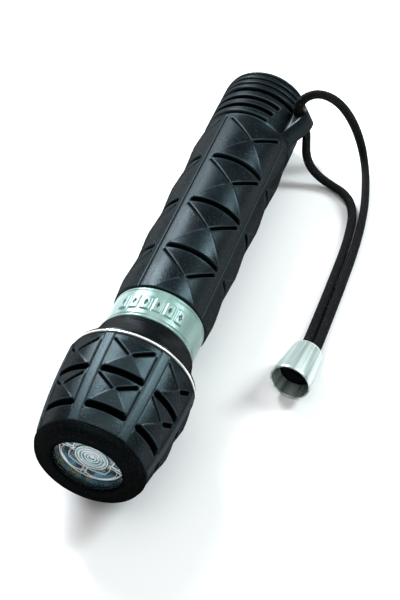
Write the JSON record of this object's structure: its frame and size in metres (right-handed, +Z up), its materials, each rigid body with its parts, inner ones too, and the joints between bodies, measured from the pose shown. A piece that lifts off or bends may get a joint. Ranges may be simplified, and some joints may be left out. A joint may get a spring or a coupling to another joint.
{
  "type": "tactical flashlight",
  "caption": "Rubber-armoured LED hand torch lying on its side, with a treaded head and grip, a twist switch, a screw tail cap, and a doubled wrist cord ending in a bell.",
  "frame": {"origin": "under the middle of the flashlight, on the surface that it lies on", "axes": "+Y runs from the front of the head to the tail, +Z up, +X towards the lanyard"},
  "size_m": [0.0951, 0.2312, 0.0555],
  "materials": {
    "black_rubber": "satin black moulded rubber",
    "black_plastic": "semi-gloss black",
    "pale_silver": "satin pale silver-green",
    "chrome": "mirror bright",
    "clear_plastic": "clear, polished",
    "aluminium": "satin",
    "brass": "satin",
    "spring_steel": "bright",
    "circuit_board": "green solder mask",
    "phosphor": "yellow phosphor under a clear dome",
    "cell_wrap": "printed film, plain",
    "braided_cord": "fine braid"
  },
  "bodies": {
    "handle": {"barrel": "aluminium", "neck_seal": "black_rubber", "insulator_plug": "black_plastic", "centre_contact": "brass", "front_cell": "cell_wrap", "rear_cell": "cell_wrap", "handle_sleeve": "black_rubber", "silver_ring": "pale_silver", "lanyard_lug": "black_plastic", "lanyard_outer_strand": "braided_cord", "lanyard_inner_strand": "braided_cord", "lanyard_bell": "pale_silver", "bell_plug": "black_rubber"},
    "head": {"front_bezel": "black_rubber", "front_window": "clear_plastic", "window_seal": "black_rubber", "reflector": "chrome", "petal_insert": "chrome", "collimator_lens": "clear_plastic", "led_emitter": "phosphor", "led_board": "circuit_board", "heat_sink": "aluminium", "head_shell": "black_plastic", "head_sleeve": "black_rubber", "trim_ring": "pale_silver", "rear_collar": "black_plastic", "switch_board": "circuit_board", "switch_ring": "brass", "switch_spring": "spring_steel"},
    "tail_seal": {"tail_seal": "black_rubber"},
    "tail_cap": {"cap_core": "black_plastic", "cap_grip": "black_rubber", "spring_plate": "spring_steel", "tail_spring": "spring_steel"}
  },
  "joints": [
    {"name": "head_twist", "type": "hinge", "parent": "handle", "child": "head", "pos_m": [0, -0.05919, 0.02736], "axis": [0, 0.9993, -0.0385], "range_deg": [0, 60]},
    {"name": "tail_travel", "type": "slide", "parent": "handle", "child": "tail_seal", "axis": [0, 0.9993, -0.0385], "range_m": [0, 0.0075]},
    {"name": "tail_turn", "type": "hinge", "parent": "tail_seal", "child": "tail_cap", "pos_m": [0, 0.10689, 0.02095], "axis": [0, 0.9993, -0.0385], "range_deg": [0, 900]}
  ],
  "couplings": [
    {"joint": "tail_travel", "follows": "tail_turn", "m_per_rad": 0.00047746}
  ]
}
